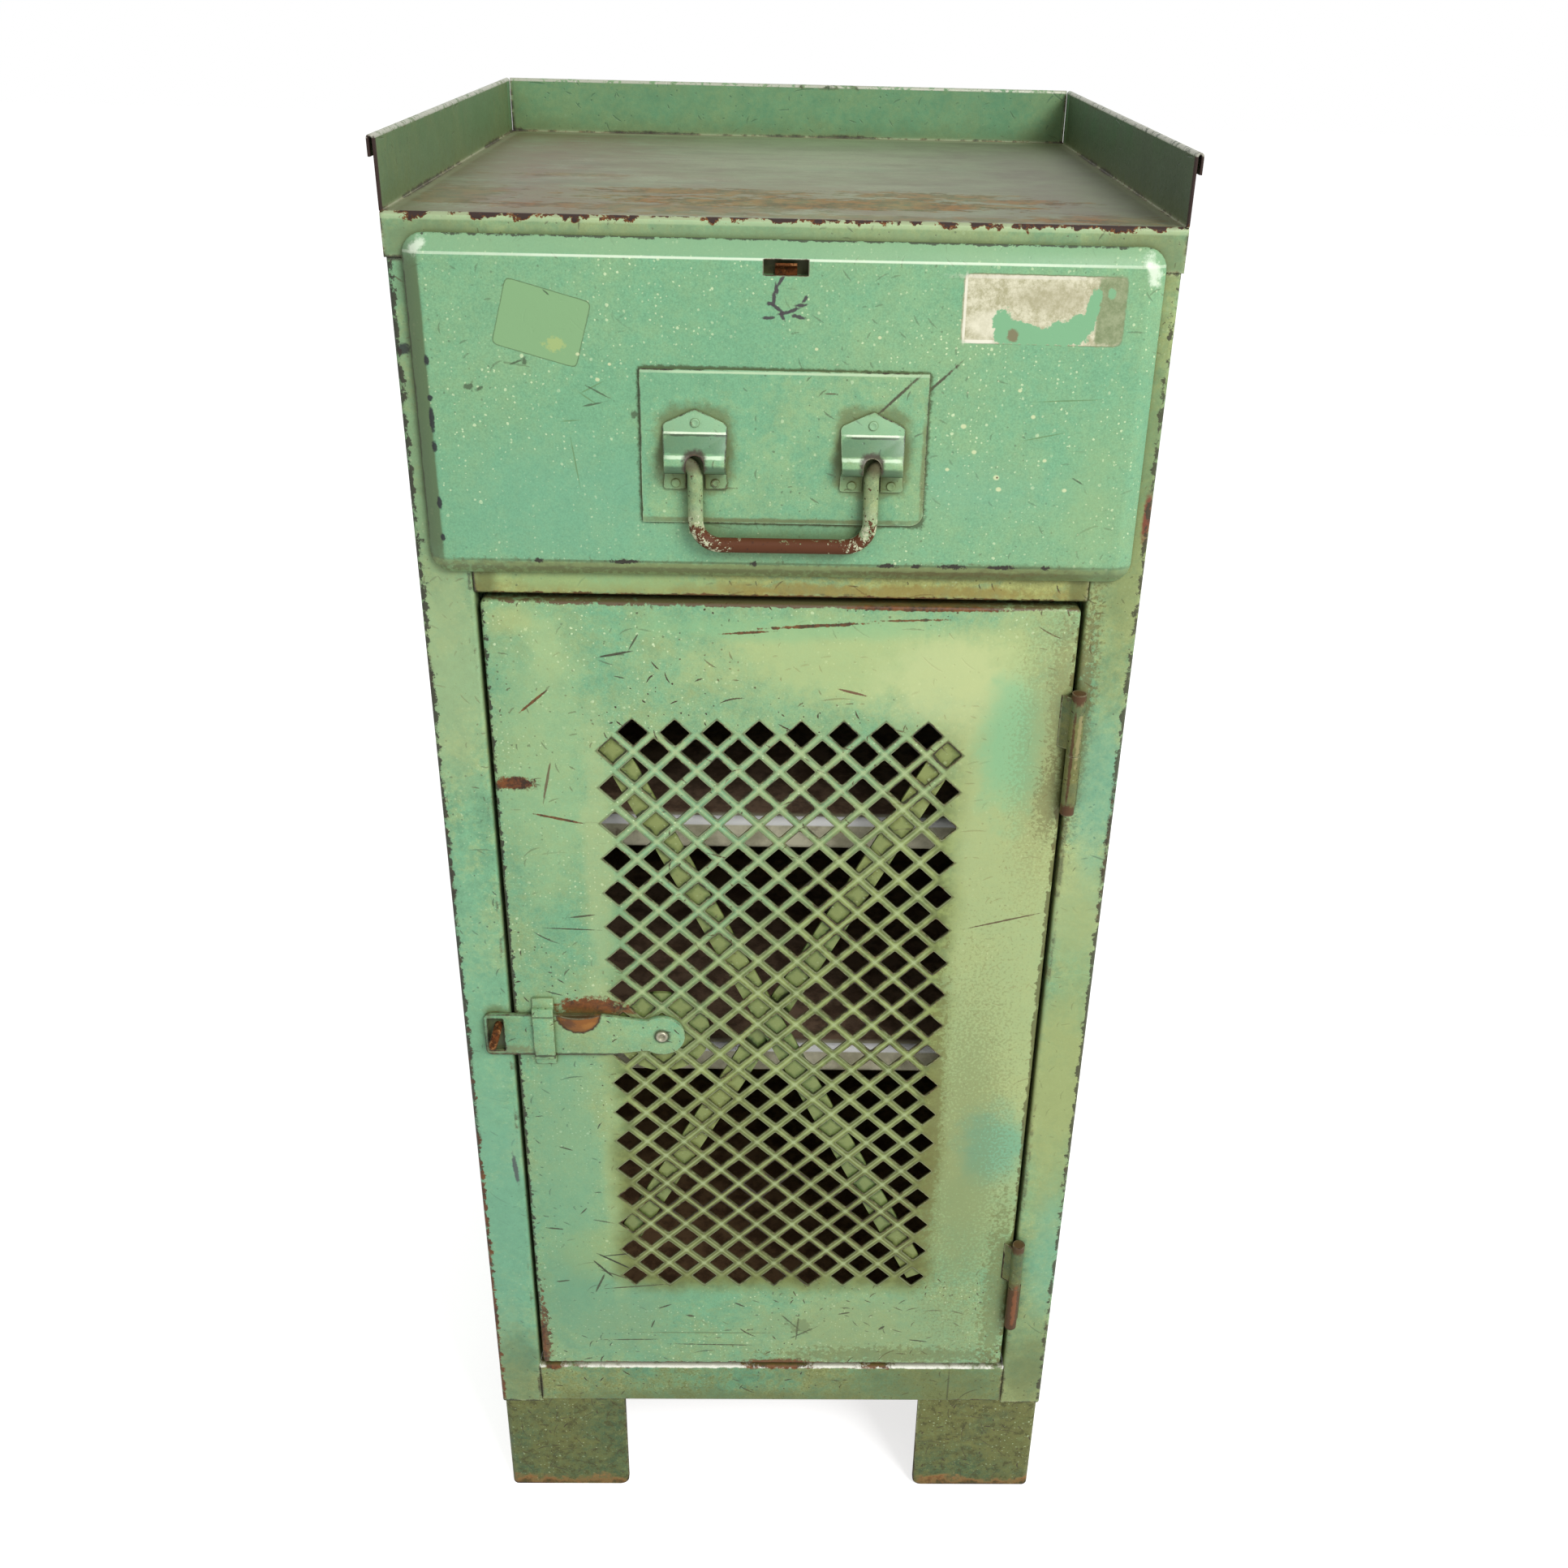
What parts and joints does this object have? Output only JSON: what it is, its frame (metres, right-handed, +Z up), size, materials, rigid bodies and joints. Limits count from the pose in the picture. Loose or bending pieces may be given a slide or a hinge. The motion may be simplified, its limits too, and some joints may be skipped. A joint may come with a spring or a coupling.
{
  "type": "workshop cabinet",
  "caption": "Free-standing steel cabinet: hemmed tray top, one drawer with a bail handle, and a perforated door over shelves, closed by a padlock hasp, on plate feet.",
  "frame": {"origin": "on the floor, under the middle of the whole outline", "axes": "+Z up, -Y towards the front with the drawer and the door, +X to the right as seen from the front"},
  "size_m": [0.509, 0.5282, 1.211],
  "materials": {
    "green_paint": "worn satin green paint, chipped at the edges",
    "worktop_paint": "green paint worn through to grey-brown metal on the worktop",
    "foot_paint": "grimy olive green paint",
    "bare_steel": "dull bare sheet steel",
    "rusty_steel": "surface rust",
    "handle_paint": "green paint worn to rust-brown on the grip",
    "hinge_paint": "green paint with rusty ends"
  },
  "bodies": {
    "cabinet": {"tray_top": "worktop_paint", "side_left": "green_paint", "side_right": "green_paint", "stile_left": "green_paint", "stile_right": "green_paint", "rear_strip_left": "green_paint", "rear_strip_right": "green_paint", "back_panel": "green_paint", "bottom_pan": "green_paint", "middle_rail": "green_paint", "foot_front_left": "foot_paint", "foot_front_right": "foot_paint", "foot_rear_left": "foot_paint", "foot_rear_right": "foot_paint", "shelf_upper": "bare_steel", "shelf_lower": "bare_steel", "shelf_rail_upper_left": "green_paint", "shelf_rail_upper_right": "green_paint", "shelf_rail_lower_left": "green_paint", "shelf_rail_lower_right": "green_paint", "drawer_runner_left": "green_paint", "drawer_runner_right": "green_paint", "latch_staple": "rusty_steel", "hinge_frame_knuckle_upper": "hinge_paint", "hinge_frame_knuckle_lower": "hinge_paint", "hinge_pin_upper": "rusty_steel", "hinge_pin_lower": "rusty_steel"},
    "drawer": {"drawer_front": "green_paint", "drawer_bottom": "green_paint", "drawer_side_left": "green_paint", "drawer_side_right": "green_paint", "drawer_rim_left": "green_paint", "drawer_rim_right": "green_paint", "drawer_end_front": "green_paint", "drawer_end_rear": "green_paint", "drawer_stop": "green_paint", "lock_tongue": "rusty_steel", "handle_plate": "green_paint", "handle_bracket_left": "green_paint", "handle_bracket_right": "green_paint", "bracket_rivets": "green_paint"},
    "handle": {"bail_handle": "handle_paint"},
    "door": {"door_panel": "green_paint", "brace_bar_straight": "green_paint", "brace_bar_joggled": "green_paint", "latch_backing_disc": "green_paint", "latch_rivet": "bare_steel", "latch_keeper": "green_paint", "hinge_door_knuckle_upper": "hinge_paint", "hinge_door_knuckle_lower": "hinge_paint"},
    "latch": {"latch_strap": "green_paint"}
  },
  "joints": [
    {"name": "drawer_slide", "type": "slide", "parent": "cabinet", "child": "drawer", "axis": [0, -1, 0], "range_m": [0, 0.36]},
    {"name": "handle_swing", "type": "hinge", "parent": "drawer", "child": "handle", "pos_m": [0, -0.2573, 1.016], "axis": [-1, 0, 0], "range_deg": [0, 90]},
    {"name": "door_hinge", "type": "hinge", "parent": "cabinet", "child": "door", "pos_m": [0.21325, -0.246, 0.5405], "axis": [0, 0, 1], "range_deg": [0, 170]},
    {"name": "latch_swing", "type": "hinge", "parent": "door", "child": "latch", "pos_m": [-0.092, -0.2424, 0.5405], "axis": [0, 1, 0], "range_deg": [0, 2.5]}
  ]
}
